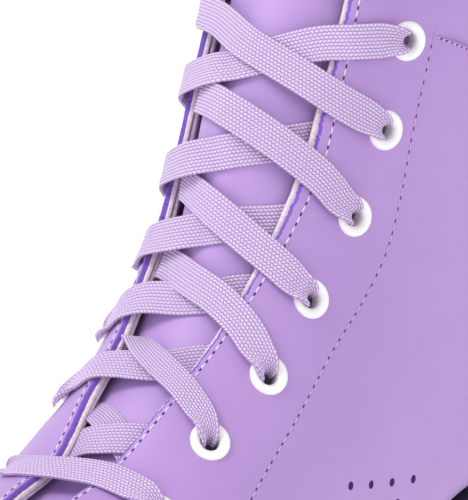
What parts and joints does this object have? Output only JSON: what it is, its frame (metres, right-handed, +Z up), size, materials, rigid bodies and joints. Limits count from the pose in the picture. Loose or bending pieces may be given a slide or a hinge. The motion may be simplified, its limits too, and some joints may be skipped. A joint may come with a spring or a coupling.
{
  "type": "ice skate",
  "caption": "Laced lilac leather figure-skating boot with eyelets, speed hooks and a padded tongue, screwed to a steel blade with a toe pick",
  "frame": {"origin": "on the ice under the middle of the skate: centre of the box's base", "axes": "+X to the toe, +Y to the inner side of the foot, +Z up"},
  "size_m": [0.27, 0.0938, 0.2973],
  "materials": {
    "upper_leather": "satin smooth synthetic leather",
    "tongue_leather": "satin smooth synthetic leather",
    "lining": "soft textile lining",
    "stiffener": "pressed fibre board",
    "padding": "foam under brushed textile",
    "insole": "cellulose board",
    "footbed_cloth": "woven top cloth",
    "sole_leather": "stained and waxed, dark",
    "heel_leather": "stacked and waxed, dark",
    "lift_rubber": "matt",
    "shank_steel": "spring steel strip",
    "eyelet_enamel": "white enamel",
    "hook_metal": "white enamel",
    "lace_braid": "flat braided lace",
    "aglet_plastic": "clear lilac film",
    "plate_chrome": "plated",
    "blade_chrome": "plated, ground along the edge",
    "screw_steel": "stainless"
  },
  "bodies": {
    "boot": {"vamp": "upper_leather", "medial_quarter": "upper_leather", "lateral_quarter": "upper_leather", "medial_facing": "upper_leather", "lateral_facing": "upper_leather", "medial_cuff": "upper_leather", "lateral_cuff": "upper_leather", "backstay": "upper_leather", "toe_puff": "stiffener", "heel_counter": "stiffener", "medial_stay": "stiffener", "lateral_stay": "stiffener", "vamp_lining": "lining", "medial_lining": "lining", "lateral_lining": "lining", "collar_padding": "padding", "insole_board": "insole", "footbed": "footbed_cloth", "shank": "shank_steel", "outsole": "sole_leather", "heel_block": "heel_leather", "heel_lift": "lift_rubber", "medial_eyelets": "eyelet_enamel", "lateral_eyelets": "eyelet_enamel", "medial_hooks": "hook_metal", "lateral_hooks": "hook_metal", "lace": "lace_braid", "lace_knot": "lace_braid", "medial_loop": "lace_braid", "lateral_loop": "lace_braid", "long_tail": "lace_braid", "short_tail": "lace_braid", "aglets": "aglet_plastic", "sole_plate": "plate_chrome", "heel_plate": "plate_chrome", "front_stanchion": "plate_chrome", "rear_stanchion": "plate_chrome", "runner": "blade_chrome", "sole_screws": "screw_steel", "heel_screws": "screw_steel"},
    "tongue": {"tongue": "tongue_leather", "tongue_padding": "padding"}
  },
  "joints": [
    {"name": "tongue_bend", "type": "hinge", "parent": "boot", "child": "tongue", "pos_m": [0.066, 0, 0.106], "axis": [0, 1, 0], "range_deg": [-10, 0]}
  ]
}
